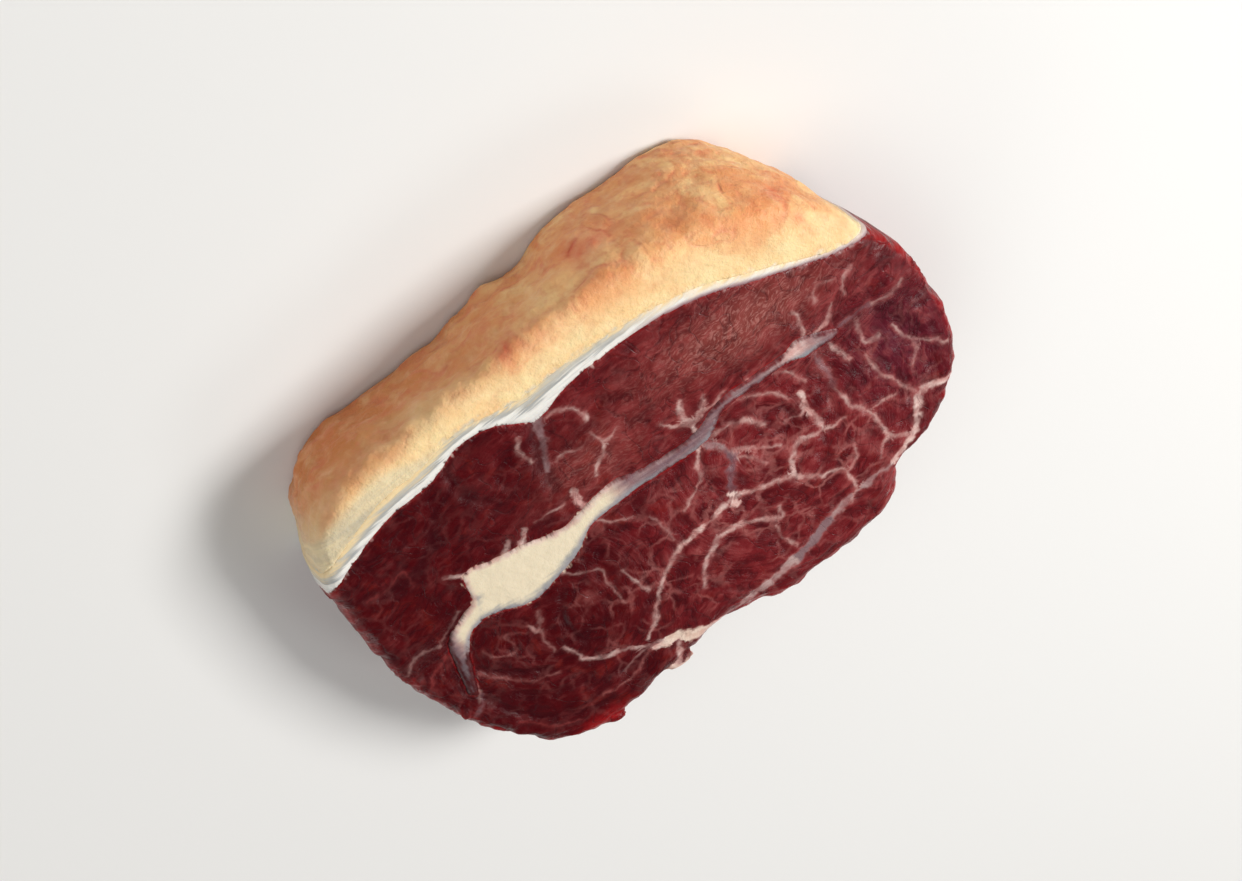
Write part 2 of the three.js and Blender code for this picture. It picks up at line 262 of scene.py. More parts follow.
def tree_of(node):
    """A search tree over a solid's own surface."""
    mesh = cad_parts[node].data
    corners = [v.co.copy() for v in mesh.vertices]
    return BVHTree.FromPolygons(corners, [tuple(p.vertices) for p in mesh.polygons])


def distance_to(tree, points):
    """How far each point, in millimetres, is from a surface."""
    return np.array([tree.find_nearest(Vector(p * MM))[3] for p in points]) / MM


def add_group(piece, name, weights):
    """A vertex group whose weights are cut to steps of a tenth."""
    group = piece.vertex_groups.new(name=name)
    for step in range(1, 11):
        members = np.nonzero(np.round(weights * 10) == step)[0]
        group.add([int(i) for i in members], step / 10, "REPLACE")
    return name


def add_scraps(mesh, scraps):
    """Adds long round lumps to a mesh, sunk into it."""
    shape = bmesh.new()
    shape.from_mesh(mesh)
    for middle, half_sizes, heading in scraps:
        shift = Vector((CUT_SHIFT[0], CUT_SHIFT[1], 0))
        turn = Matrix.Rotation(math.radians(heading), 4, "Z")
        place = Matrix.Translation((Vector(middle) + shift) * MM) @ turn
        size = Matrix.Diagonal((*(half * MM for half in half_sizes), 1))
        bmesh.ops.create_icosphere(shape, subdivisions=3, radius=1, matrix=place @ size)
    shape.to_mesh(mesh)
    shape.free()


def fine_mesh(name, node, voxel, unseen, soft, scraps=()):
    """A solid as an even fine mesh, thinned where it is unseen and rounded where it is soft.

    unseen and soft take all points and normals, and give a number from 0 to 1 for each.
    """
    piece = closed_copy(name, node)
    add_scraps(piece.data, scraps)
    remesh = piece.modifiers.new("even", "REMESH")
    remesh.mode = "VOXEL"
    remesh.voxel_size = voxel * MM
    remesh.use_smooth_shade = True
    applied(piece)
    points, facing = places(piece.data), normals(piece.data)
    hidden = unseen(points, facing).astype(float)
    blunt = piece.modifiers.new("blunt", "SMOOTH")
    blunt.factor = 0.5
    blunt.iterations = 60
    blunt.vertex_group = add_group(piece, "soft", soft(points, facing))
    thin = piece.modifiers.new("thin", "DECIMATE")
    thin.ratio = 1 - THINNED * hidden.mean()
    thin.vertex_group = add_group(piece, "unseen", hidden)
    soften = piece.modifiers.new("soften", "SMOOTH")
    soften.factor = 0.5
    soften.iterations = 4
    applied(piece)
    piece.vertex_groups.clear()
    return piece


# ---------------------------------------------------------------- the cut's own lines

def bell(x, y, at_x, at_y, reach_x, reach_y):
    """1 at a place on the cut, and less away from it, until it is gone at about twice its reach."""
    return np.exp(-(((x - at_x) / reach_x) ** 2) - ((y - at_y) / reach_y) ** 2)


def smooth(value):
    """A step that eases in and out, from 0 at 0 to 1 at 1."""
    value = np.clip(value, 0, 1)
    return value * value * (3 - 2 * value)


def cut_places(points):
    """Where each point lies on the cut, with the wandering of the knife below the top face undone."""
    depth = 1 - points[:, 2] / THICKNESS
    turn = UNDERSIDE_TURN * depth
    moved = points[:, 0] - CUT_SHIFT[0]
    across = points[:, 1] - CUT_SHIFT[1]
    x, y = moved, across
    for _ in range(3):
        cut_in = UNDERCUT["cut_in"] * depth * bell(
            x, y, UNDERCUT["x"], UNDERCUT["y"], UNDERCUT["reach_x"], UNDERCUT["reach_y"]
        )
        x = (moved - cut_in) * np.cos(turn) + across * np.sin(turn)
        y = across * np.cos(turn) - (moved - cut_in) * np.sin(turn)
    return np.stack([x, y, points[:, 2]], 1)


def curve_through(points, step):
    """Samples of a smooth line through points, with the share of its length at each."""
    points = np.array(points, float)
    padded = np.vstack([2 * points[0] - points[1], points, 2 * points[-1] - points[-2]])
    rows = []
    for a, b, c, d in zip(padded, padded[1:], padded[2:], padded[3:]):
        count = max(2, int(np.linalg.norm(c - b) / step))
        t = np.linspace(0, 1, count, endpoint=False)[:, None]
        bend = 2 * a - 5 * b + 4 * c - d
        twist = 3 * b - a - 3 * c + d
        rows.append(0.5 * (2 * b + (c - a) * t + bend * t**2 + twist * t**3))
    line = np.vstack(rows + [points[-1:]])
    length = np.concatenate([[0], np.cumsum(np.linalg.norm(np.diff(line, axis=0), axis=1))])
    return line, length / length[-1]


def line_samples(lines):
    """All lines' samples as rows of x, y, normal x, normal y, and then each line's own two values."""
    rows = []
    for start, stop, extra, points in lines:
        line, share = curve_through(points, STRAND_STEP)
        along = np.gradient(line, axis=0)
        along /= np.linalg.norm(along, axis=1, keepdims=True)
        size = start + (stop - start) * share
        rows.append(np.column_stack([line, -along[:, 1], along[:, 0], size, np.full(len(line), extra)]))
    return np.vstack(rows)


def nearest_line(cut, lines):
    """Each place's signed and plain distance to the nearest line, and that line's two values there."""
    samples = line_samples(lines)
    tree = KDTree(len(samples))
    for i, row in enumerate(samples):
        tree.insert((row[0], row[1], 0), i)
    tree.balance()
    found = [tree.find((x, y, 0)) for x, y in cut[:, :2]]
    nearest = samples[[f[1] for f in found]]
    near = np.array([f[2] for f in found])
    side = (cut[:, 0] - nearest[:, 0]) * nearest[:, 2] + (cut[:, 1] - nearest[:, 1]) * nearest[:, 3]
    return side, near, nearest[:, 4], nearest[:, 5]


def grain_across(x, y):
    """A measure whose contours follow the grain: rings in the two far muscles, long lines beside the cap."""
    pointed = np.hypot(x + 25, y - 9)
    blunt = np.hypot(x - 38, y - 20)
    far = pointed + (blunt - pointed) * smooth((x + 8) / 26)
    cap = 0.97 * y - 0.24 * x + 3 * np.sin(x / 15)
    seam_y = np.interp(x, [-75, -10, 30, 50, 75], [-6, -3, 2, 4, 10])
    return cap + (far - cap) * smooth((y - seam_y + 4) / 8)


# ---------------------------------------------------------------- node helpers

FLOAT = "NodeSocketFloat"
COLOR = "NodeSocketColor"


def feed(tree, socket, value):
    """Sets a socket to a value, or links it to another socket."""
    if isinstance(value, bpy.types.NodeSocket):
        tree.links.new(value, socket)
    else:
        socket.default_value = value


def add(tree, kind, inputs=None, **settings):
    """A new node, with its settings made before its inputs are fed."""
    node = tree.nodes.new(kind)
    for name, value in settings.items():
        setattr(node, name, value)
    for name, value in (inputs or {}).items():
        feed(tree, node.inputs[name], value)
    return node


def calc(tree, operation, a, b=0.0, c=0.0, clamp=False):
    """The result of a math node; clamp holds it between 0 and 1."""
    return add(tree, "ShaderNodeMath", {0: a, 1: b, 2: c}, operation=operation, use_clamp=clamp).outputs[0]


def plus(tree, a, b):
    return calc(tree, "ADD", a, b)


def times(tree, a, b, clamp=False):
    return calc(tree, "MULTIPLY", a, b, clamp=clamp)


def times_plus(tree, a, b, c, clamp=False):
    """a times b, plus c."""
    return calc(tree, "MULTIPLY_ADD", a, b, c, clamp=clamp)


def vector_calc(tree, operation, inputs):
    return add(tree, "ShaderNodeVectorMath", inputs, operation=operation).outputs[0]


def remap(tree, value, low, high, to_low=0.0, to_high=1.0):
    """Smoothly takes low..high to to_low..to_high, and holds beyond them."""
    inputs = {"Value": value, "From Min": low, "From Max": high, "To Min": to_low, "To Max": to_high}
    return add(tree, "ShaderNodeMapRange", inputs, interpolation_type="SMOOTHSTEP").outputs[0]


def blend(tree, share, a, b):
    """The colour a, turned to b by a share from 0 to 1."""
    return add(tree, "ShaderNodeMix", {0: share, 6: a, 7: b}, data_type="RGBA").outputs[2]


def noise(tree, vector, size, detail=3.0, rough=0.55, warp=0.0):
    """Noise from 0 to 1 with features about size wide, in the vector's own unit."""
    inputs = {"Vector": vector, "Scale": 1 / size, "Detail": detail, "Roughness": rough, "Distortion": warp}
    return add(tree, "ShaderNodeTexNoise", inputs).outputs[0]


def swing(tree, vector, size, detail=2.0, rough=0.55, warp=0.0):
    """The same noise from -0.5 to 0.5."""
    return plus(tree, noise(tree, vector, size, detail, rough, warp), -0.5)


def read(tree, name, output="Fac"):
    """A value that is kept on the piece's vertices."""
    return add(tree, "ShaderNodeAttribute", attribute_name=name).outputs[output]


def group_tree(name, numbers, outputs):
    """A new shader node group, which takes a Place and named numbers, each with its usual value."""
    tree = bpy.data.node_groups.new(name, "ShaderNodeTree")
    tree.interface.new_socket("Place", in_out="INPUT", socket_type="NodeSocketVector")
    for socket, usual in numbers.items():
        tree.interface.new_socket(socket, in_out="INPUT", socket_type=FLOAT).default_value = usual
    for socket, kind in outputs.items():
        tree.interface.new_socket(socket, in_out="OUTPUT", socket_type=kind)
    return tree, tree.nodes.new("NodeGroupInput").outputs, tree.nodes.new("NodeGroupOutput").inputs


def use(tree, group, **inputs):
    """Places a node group in a tree and gives its outputs."""
    node = tree.nodes.new("ShaderNodeGroup")
    node.node_tree = group
    for name, value in inputs.items():
        feed(tree, node.inputs[name.replace("_", " ")], value)
    return node.outputs


# ---------------------------------------------------------------- shared effects

def mottle_group():
    """Soft patches of one size."""
    numbers = {"Size": 8.0, "Warp": 0.6, "Low": 0.35, "High": 0.65}
    tree, given, out = group_tree("mottle", numbers, {"Patch": FLOAT})
    cloud = add(tree, "ShaderNodeTexNoise", {
        "Vector": given["Place"], "Scale": calc(tree, "DIVIDE", 1.0, given["Size"]),
        "Detail": 4.0, "Roughness": 0.6, "Distortion": given["Warp"],
    }).outputs[0]
    feed(tree, out["Patch"], remap(tree, cloud, given["Low"], given["High"]))
    return tree


def grain_group():
    """Fibres: streaks along the contours of Across, broken along their length."""
    numbers = {"Across": 0.0, "Width": 0.7, "Length": 7.0, "Wander": 4.0}
    tree, given, out = group_tree("grain", numbers, {"Streak": FLOAT})
    x, y, z = add(tree, "ShaderNodeSeparateXYZ", {0: given["Place"]}).outputs
    wander = noise(tree, given["Place"], 6.0, 2.0)
    across = times_plus(tree, wander, given["Wander"], given["Across"])
    along = add(tree, "ShaderNodeCombineXYZ", {
        0: calc(tree, "DIVIDE", across, given["Width"]),
        1: calc(tree, "DIVIDE", x, given["Length"]),
        2: calc(tree, "DIVIDE", plus(tree, y, z), given["Length"]),
    }).outputs[0]
    feed(tree, out["Streak"], remap(tree, noise(tree, along, 1.0, 3.0, 0.6), 0.3, 0.7))
    return tree


def web_group():
    """Thin walls between bundles, broken here and there."""
    numbers = {"Cell": 5.0, "Width": 0.3, "Warp": 1.5, "Broken": 0.5}
    tree, given, out = group_tree("web", numbers, {"Wall": FLOAT})
    sway = add(tree, "ShaderNodeTexNoise", {
        "Vector": given["Place"], "Scale": calc(tree, "DIVIDE", 1.3, given["Cell"]), "Detail": 3.0,
    }).outputs[1]
    centred = vector_calc(tree, "SUBTRACT", {0: sway, 1: (0.5, 0.5, 0.5)})
    reach = times(tree, given["Warp"], given["Cell"])
    pushed = vector_calc(tree, "SCALE", {0: centred, "Scale": reach})
    bent = vector_calc(tree, "ADD", {0: given["Place"], 1: pushed})
    edge = add(tree, "ShaderNodeTexVoronoi", {
        "Vector": bent, "Scale": calc(tree, "DIVIDE", 1.0, given["Cell"]),
    }, feature="DISTANCE_TO_EDGE").outputs[0]
    apart = times(tree, edge, given["Cell"])
    breaks = add(tree, "ShaderNodeTexNoise", {
        "Vector": given["Place"], "Scale": calc(tree, "DIVIDE", 0.8, given["Cell"]), "Detail": 3.0,
    }).outputs[0]
    whole = remap(tree, breaks, plus(tree, given["Broken"], -0.12), plus(tree, given["Broken"], 0.14))
    line = remap(tree, apart, 0.0, given["Width"], 1.0, 0.0)
    feed(tree, out["Wall"], times(tree, line, whole))
    return tree


def strand_group():
    """A strand's mask from the distances kept on the mesh, with a wobbling, fading outline."""
    numbers = {"Side": 9.0, "Near": 9.0, "Half": 0.5}
    tree, given, out = group_tree("strand", numbers, {"Strand": FLOAT, "Halo": FLOAT})
    slow = swing(tree, given["Place"], 2.6)
    quick = swing(tree, given["Place"], 0.9)
    sway = times_plus(tree, slow, 2.2, times(tree, quick, 0.3))
    apart = calc(tree, "ABSOLUTE", plus(tree, given["Side"], sway))
    distance = calc(tree, "MAXIMUM", apart, plus(tree, given["Near"], -0.5))
    swell = remap(tree, noise(tree, given["Place"], 2.8, 2.0), 0.3, 0.7, -0.7, 0.3)
    half = times_plus(tree, calc(tree, "MINIMUM", given["Half"], 0.8), swell, given["Half"])
    beyond = calc(tree, "SUBTRACT", distance, half)
    body = remap(tree, beyond, -0.45, 0.6, 1.0, 0.0)
    sinking = remap(tree, noise(tree, given["Place"], 4.5, 3.0), 0.35, 0.62, 0.35, 1.0)
    shown = calc(tree, "MAXIMUM", sinking, remap(tree, given["Half"], 0.7, 1.4))
    clear = times(tree, shown, remap(tree, given["Half"], 0.1, 0.8, 0.4, 1.0))
    feed(tree, out["Strand"], times(tree, body, clear))
    feed(tree, out["Halo"], times(tree, remap(tree, beyond, -0.4, 1.5, 1.0, 0.0), shown))
    return tree


def ragged_group():
    """How flesh and white tissue run into each other, from how far a place is into the flesh."""
    tree, given, out = group_tree("ragged", {"Into": 9.0, "Soft": 0.5, "Fray": 1.0}, {"Flesh": FLOAT})
    pulled = add(tree, "ShaderNodeMapping", {"Vector": given["Place"], "Scale": (1.1, 0.32, 1.0)}).outputs[0]
    teeth = times(tree, swing(tree, pulled, 1.0, 3.0), given["Fray"])
    slow = swing(tree, given["Place"], 3.4)
    sway = times_plus(tree, teeth, 3.4, times(tree, slow, 2.0))
    into = plus(tree, given["Into"], sway)
    feed(tree, out["Flesh"], remap(tree, into, times(tree, given["Soft"], -1.0), given["Soft"]))
    return tree


def sheath_group():
    """Silverskin: white beside the lean, a blue-grey band of painted shade in the middle, and cream where it
    turns into fat.
    """
    numbers = {"Layer": 0.0, "Side": 0.5, "Slate": 1.0}
    tree, given, out = group_tree("sheath", numbers, {"Color": COLOR, "Height": FLOAT})
    layers = use(
        tree, grain, Place=given["Place"], Across=given["Layer"], Width=1.0, Length=18.0, Wander=1.2
    )["Streak"]
    white = blend(tree, layers, srgb(216, 212, 206), srgb(242, 238, 228))
    # painted shade: the blue-grey band between the white line and the fat, streaked by the layers
    slate = blend(tree, layers, srgb(158, 160, 160), srgb(200, 194, 180))
    slate = blend(tree, given["Slate"], srgb(238, 224, 204), slate)
    side = times_plus(tree, plus(tree, layers, -0.5), 0.4, given["Side"])
    color = blend(tree, remap(tree, side, 0.35, 0.65), slate, white)
    cream = blend(tree, layers, srgb(236, 208, 160), srgb(250, 226, 176))
    feed(tree, out["Color"], blend(tree, remap(tree, side, -0.05, 0.35), cream, color))
    feed(tree, out["Height"], layers)
    return tree


def tissue_group():
    """White connective tissue: cream where thick, blue-grey where thin, and flushed below a Grey of zero."""
    tree, given, out = group_tree("tissue", {"Grey": 0.0, "Cream": 0.0}, {"Color": COLOR})
    patch = remap(tree, noise(tree, given["Place"], 2.5, 4.0), 0.35, 0.65)
    white = blend(tree, patch, srgb(224, 194, 184), srgb(202, 152, 144))
    flushed = blend(tree, times(tree, given["Grey"], -1.0, clamp=True), white, srgb(140, 54, 52))
    cream = blend(tree, given["Cream"], flushed, srgb(230, 214, 184))
    grey = calc(tree, "MAXIMUM", given["Grey"], 0.0)
    feed(tree, out["Color"], blend(tree, grey, cream, srgb(116, 86, 92)))
    return tree


def flesh_group():
    """Raw muscle: dark and light patches, fibres in bundles, painted shade in the gaps between them and where
    the relief is low, and painted light where it is high.
    """
    numbers = {
        "Across": 0.0, "Light": 0.5, "Brown": 0.0, "Purple": 0.0, "Red": 0.0, "Level": 0.0, "Fold": 0.0,
    }
    tree, given, out = group_tree("flesh", numbers, {"Color": COLOR, "Height": FLOAT})
    place = given["Place"]
    patch = use(tree, mottle, Place=place, Size=12.0, Low=0.36, High=0.66)["Patch"]
    share = times_plus(tree, given["Light"], 0.75, times_plus(tree, patch, 0.45, -0.15), clamp=True)
    color = blend(tree, share, srgb(72, 3, 8), srgb(110, 26, 30))
    color = blend(tree, given["Brown"], color, srgb(130, 60, 54))
    color = blend(tree, times(tree, given["Purple"], 0.7), color, srgb(84, 22, 40))
    rusty = use(tree, mottle, Place=place, Size=7.0, Warp=1.0, Low=0.54, High=0.74)["Patch"]
    color = blend(tree, times(tree, rusty, 0.4), color, srgb(122, 30, 20))
    # redder sides: partly the flesh's own colour, partly painted light on the wet sides
    color = blend(tree, times(tree, given["Red"], 0.75), color, srgb(160, 20, 22))
    fibres = use(tree, grain, Place=place, Across=given["Across"], Width=2.2, Length=10.0)["Streak"]
    bundles = remap(tree, noise(tree, place, 5.0, 2.0, 0.5, 0.8), 0.3, 0.7)
    depth = times_plus(tree, fibres, 0.5, times(tree, bundles, 0.5))
    # the relief's level joins in: where it is low, the flesh is darkened as painted shade
    depth = times_plus(tree, given["Level"], 0.3, depth)
    darkest = times_plus(tree, given["Brown"], -0.25, 0.5)
    color = blend(tree, remap(tree, depth, 0.1, 0.6, darkest, 0.0), color, srgb(46, 2, 9))
    # painted shade in the gaps between bundles and in the folds, which also dip in the relief
    fold = calc(tree, "ABSOLUTE", swing(tree, place, 8.0, rough=0.5, warp=1.0))
    gap_shade = remap(tree, fold, 0.0, 0.035, 0.4, 0.0)
    gap_shade = calc(tree, "MAXIMUM", gap_shade, times(tree, given["Fold"], 0.65))
    color = blend(tree, gap_shade, color, srgb(46, 3, 10))
    # pinker on thin fibres and raised places: partly the fibres' own colour, partly painted light, more where
    # the flesh is lighter
    thin = use(tree, grain, Place=place, Across=given["Across"], Width=0.8, Length=9.0)["Streak"]
    light = times_plus(tree, thin, 0.3, depth)
    pink = times_plus(tree, given["Light"], 0.22, 0.12)
    color = blend(tree, times(tree, remap(tree, light, 0.7, 1.25), pink), color, srgb(168, 78, 76))
    feed(tree, out["Color"], color)
    feed(tree, out["Height"], times_plus(tree, gap_shade, -0.8, light))
    return tree


def damp_group():
    """The fine unevenness of a damp surface: its height, and where it is smooth enough to shine."""
    outputs = {"Height": FLOAT, "Roughness": FLOAT, "Film": FLOAT}
    tree, given, out = group_tree("damp", {"Smooth": 0.35, "Dull": 0.6}, outputs)
    coarse = noise(tree, given["Place"], 1.4, 3.0, 0.6)
    fine = noise(tree, given["Place"], 0.4, 2.0)
    feed(tree, out["Height"], plus(tree, coarse, times(tree, fine, 0.3)))
    film = noise(tree, given["Place"], 3.5, 4.0, 0.6)
    feed(tree, out["Roughness"], remap(tree, film, 0.35, 0.65, given["Smooth"], given["Dull"]))
    feed(tree, out["Film"], remap(tree, film, 0.3, 0.46, 0.35, 0.0))
    return tree


mottle = mottle_group()
grain = grain_group()
web = web_group()
strand = strand_group()
ragged = ragged_group()
sheath = sheath_group()
tissue = tissue_group()
flesh = flesh_group()
damp = damp_group()


def new_material(name):
    """A material, its node tree and its shader."""
    material = bpy.data.materials.new(name)
    material.use_nodes = True
    return material, material.node_tree, material.node_tree.nodes["Principled BSDF"]


def set_shader(shader, **values):
    """Constant values on the shader's own sockets."""
    for name, value in values.items():
        shader.inputs[name.replace("_", " ")].default_value = value


# ---------------------------------------------------------------- materials

def flesh_of(tree, place, **more):
    """The flesh at a place, by what is kept on the piece."""
    return use(
        tree, flesh, Place=place, Across=read(tree, "across"), Light=read(tree, "light"),
        Brown=read(tree, "brown"), Purple=read(tree, "purple"), **more
    )


def streaks(tree, place, across, **sizes):
    """Fibre streaks along the contours of a value that is kept on the piece."""
    return use(tree, grain, Place=place, Across=read(tree, across), **sizes)["Streak"]


def flesh_shown(tree, place, soft):
    """1 where flesh covers the white tissue and 0 where it doesn't, with a ragged border."""
    into, fray = read(tree, "into"), read(tree, "fray")
    return use(tree, ragged, Place=place, Into=into, Soft=soft, Fray=fray)["Flesh"]


def wet_color(tree, shader, place, color, shine, dull):
    """Feeds a layer's colour and its damp gloss to its shader, and gives the outputs of the damp group."""
    feed(tree, shader.inputs["Base Color"], color)
    wet = use(tree, damp, Place=place, Smooth=shine, Dull=dull)
    feed(tree, shader.inputs["Roughness"], wet["Roughness"])
    return wet


def fine_relief(tree, shader, height, distance, strength=0.7):
    """Feeds a height, which stands for a distance in millimetres, to a shader's normal."""
    bump = add(tree, "ShaderNodeBump", {"Height": height, "Distance": distance * MM, "Strength": strength})
    feed(tree, shader.inputs["Normal"], bump.outputs[0])


def lean_material():
    """Raw muscle with its marbling, and the seam and silverskin that grow into it."""
    material, tree, shader = new_material("raw_lean")
    place = read(tree, "cut", "Vector")
    muscle = flesh_of(
        tree, place, Red=read(tree, "wall"), Level=read(tree, "height"), Fold=read(tree, "fold")
    )
    # painted highlight: short pale glints along the fibres, in the brown patches
    painted_glints = streaks(tree, place, "across", Width=0.45, Length=1.6, Wander=7.0)
    painted_glints = times(tree, remap(tree, painted_glints, 0.45, 0.95), read(tree, "brown"))
    color = blend(tree, times(tree, painted_glints, 0.4), muscle["Color"], srgb(196, 136, 126))
    # marbling
    net = use(tree, web, Place=place, Cell=6.0, Width=0.8, Warp=0.9, Broken=0.5)["Wall"]
    net = times(tree, net, read(tree, "net"))
    color = blend(tree, times(tree, net, 0.42), color, srgb(184, 112, 106))
    marbling = use(
        tree, strand, Place=place, Side=read(tree, "side"), Near=read(tree, "near"), Half=read(tree, "half")
    )
    threads = use(tree, web, Place=place, Cell=2.6, Width=0.5, Warp=0.9, Broken=0.46)["Wall"]
    spread = times_plus(tree, threads, 0.3, 0.3)
    spread = times(tree, spread, times_plus(tree, read(tree, "light"), 0.8, 0.2))
    color = blend(tree, times(tree, marbling["Halo"], spread), color, srgb(176, 96, 92))
    thick = remap(tree, read(tree, "half"), 1.1, 2.0, 0.0, 0.4)
    white = use(tree, tissue, Place=place, Grey=read(tree, "tone"), Cream=thick)["Color"]
    color = blend(tree, marbling["Strand"], color, white)
    # the seam and the silverskin grow into the lean
    edge = use(
        tree, tissue, Place=place, Grey=read(tree, "edge_tone"), Cream=read(tree, "edge_cream")
    )["Color"]
    color = blend(tree, flesh_shown(tree, place, soft=0.55), edge, color)
    wet = wet_color(tree, shader, place, color, shine=0.24, dull=0.44)
    feed(tree, shader.inputs["Coat Weight"], wet["Film"])
    set_shader(shader, Specular_IOR_Level=0.14, Coat_Roughness=0.25)
    height = times_plus(tree, muscle["Height"], 0.8, times(tree, wet["Height"], 0.5))
    height = times_plus(tree, marbling["Strand"], 0.4, height)
    fine_relief(tree, shader, height, distance=0.4)
    return material


def fat_material():
    """Fat: cream where it is cut, orange and creased outside, and white beside the silverskin."""
    material, tree, shader = new_material("fat")
    place = read(tree, "cut", "Vector")
    patch = use(tree, mottle, Place=place, Size=10.0, Low=0.34, High=0.66)["Patch"]
    outer = blend(tree, patch, srgb(252, 206, 142), srgb(238, 160, 100))
    # painted shade: the outside is darker and browner towards the blunt end
    outer = blend(tree, times(tree, read(tree, "tan"), 0.85), outer, srgb(198, 116, 52))
    wisps = streaks(tree, place, "across", Width=2.2, Length=9.0)
    outer = blend(tree, times(tree, wisps, 0.4), outer, srgb(228, 138, 92))
    wrinkle = calc(tree, "ABSOLUTE", swing(tree, place, 10.0, detail=1.5, rough=0.5, warp=0.5))
    crease = times(tree, remap(tree, wrinkle, 0.0, 0.07, 1.0, 0.0), wisps)
    outer = blend(tree, times(tree, crease, 0.55), outer, srgb(218, 110, 78))
    pebbles = noise(tree, place, 2.4, 3.0, 0.6)
    # painted shade: orange in the low places between the pebbles, which also dip in the relief
    outer = blend(tree, remap(tree, pebbles, 0.36, 0.5, 0.3, 0.0), outer, srgb(222, 120, 86))
    cream = blend(tree, patch, srgb(246, 220, 164), srgb(244, 202, 144))
    color = blend(tree, read(tree, "rim"), outer, cream)
    color = blend(tree, times(tree, read(tree, "flush"), 0.7), color, srgb(226, 96, 66))
    color = blend(tree, times(tree, read(tree, "flush"), crease), color, srgb(212, 88, 58))
    veil = use(tree, mottle, Place=place, Size=4.0, Warp=0.3, Low=0.42, High=0.8)["Patch"]
    color = blend(tree, times(tree, veil, 0.35), color, srgb(252, 216, 166))
    # painted shade: darker orange in the low places of the relief
    hollow_shade = remap(tree, read(tree, "height"), -0.8, 0.1, 0.35, 0.0)
    color = blend(tree, hollow_shade, color, srgb(208, 116, 76))
    layers = streaks(tree, place, "layer", Width=1.6, Length=16.0, Wander=2.0)
    pale = blend(tree, layers, srgb(210, 196, 164), srgb(238, 218, 174))
    color = blend(tree, times(tree, read(tree, "pale"), 0.85), color, pale)
    skin = use(
        tree, sheath, Place=place, Layer=read(tree, "layer"), Side=0.1, Slate=read(tree, "slate")
    )["Color"]
    sway = times_plus(tree, noise(tree, place, 2.4, 2.0), 4.0, -2.0)
    beside = remap(tree, plus(tree, read(tree, "to_skin"), sway), -0.2, 1.4, 1.0, 0.0)
    color = blend(tree, beside, color, skin)
    color = blend(tree, read(tree, "ashen"), color, srgb(168, 164, 150))
    wet = wet_color(tree, shader, place, color, shine=0.42, dull=0.62)
    set_shader(
        shader, Specular_IOR_Level=0.3, Subsurface_Weight=0.1, Subsurface_Radius=(1.0, 0.55, 0.3),
        Subsurface_Scale=2.0 * MM,
    )
    creased = calc(tree, "SUBTRACT", crease, read(tree, "rim"), clamp=True)
    height = times_plus(tree, creased, -0.6, wet["Height"])
    fine_relief(tree, shader, plus(tree, pebbles, height), distance=0.5)
    return material


def silverskin_material():
    """The band between the lean and the fat, with flesh over its border."""
    material, tree, shader = new_material("silverskin")
    place = read(tree, "cut", "Vector")
    skin = use(
        tree, sheath, Place=place, Layer=read(tree, "layer"), Side=read(tree, "lean_side"),
        Slate=read(tree, "slate"),
    )
    thin = calc(tree, "SUBTRACT", 1.0, read(tree, "slate"))
    thin = times(tree, thin, remap(tree, read(tree, "into"), -1.6, -0.3))
    color = blend(tree, times(tree, thin, 0.9), skin["Color"], srgb(150, 106, 112))
    color = blend(tree, flesh_shown(tree, place, soft=0.4), color, flesh_of(tree, place)["Color"])
    wet = wet_color(tree, shader, place, color, shine=0.38, dull=0.55)
    set_shader(
        shader, Specular_IOR_Level=0.35, Subsurface_Weight=0.1, Subsurface_Radius=(1.0, 0.7, 0.55),
        Subsurface_Scale=1.5 * MM,
    )
    height = times_plus(tree, skin["Height"], 0.6, times(tree, wet["Height"], 0.4))
    fine_relief(tree, shader, height, distance=0.3)
    return material


def gristle_material():
    """The seam: cream inside where it is thick, slate where it is thin, with flesh over its border."""
    material, tree, shader = new_material("gristle")
    place = read(tree, "cut", "Vector")
    fray = times_plus(tree, noise(tree, place, 1.8, 3.0), 2.0, -1.0)
    deep = calc(tree, "SUBTRACT", fray, read(tree, "into"))
    cream = times(tree, remap(tree, deep, -0.2, 1.6), read(tree, "edge_cream"))
    threads = streaks(tree, place, "layer", Width=1.0, Length=10.0, Wander=1.5)
    grey = times_plus(tree, threads, -0.25, read(tree, "edge_tone"), clamp=True)
    color = use(tree, tissue, Place=place, Grey=grey, Cream=cream)["Color"]
    deep = times_plus(tree, threads, 0.8, deep)
    rim = times(tree, remap(tree, deep, 0.8, 3.4, 0.9, 0.0), read(tree, "shade"))
    color = blend(tree, rim, color, srgb(140, 142, 146))
    color = blend(tree, read(tree, "slate"), color, srgb(84, 72, 76))
    color = blend(tree, flesh_shown(tree, place, soft=0.55), color, flesh_of(tree, place)["Color"])
    wet = wet_color(tree, shader, place, color, shine=0.34, dull=0.52)
    set_shader(
        shader, Specular_IOR_Level=0.4, Subsurface_Weight=0.08, Subsurface_Radius=(1.0, 0.7, 0.5),
        Subsurface_Scale=1.5 * MM,
    )
    fine_relief(tree, shader, wet["Height"], distance=0.3, strength=0.6)
    return material


# ---------------------------------------------------------------- relief

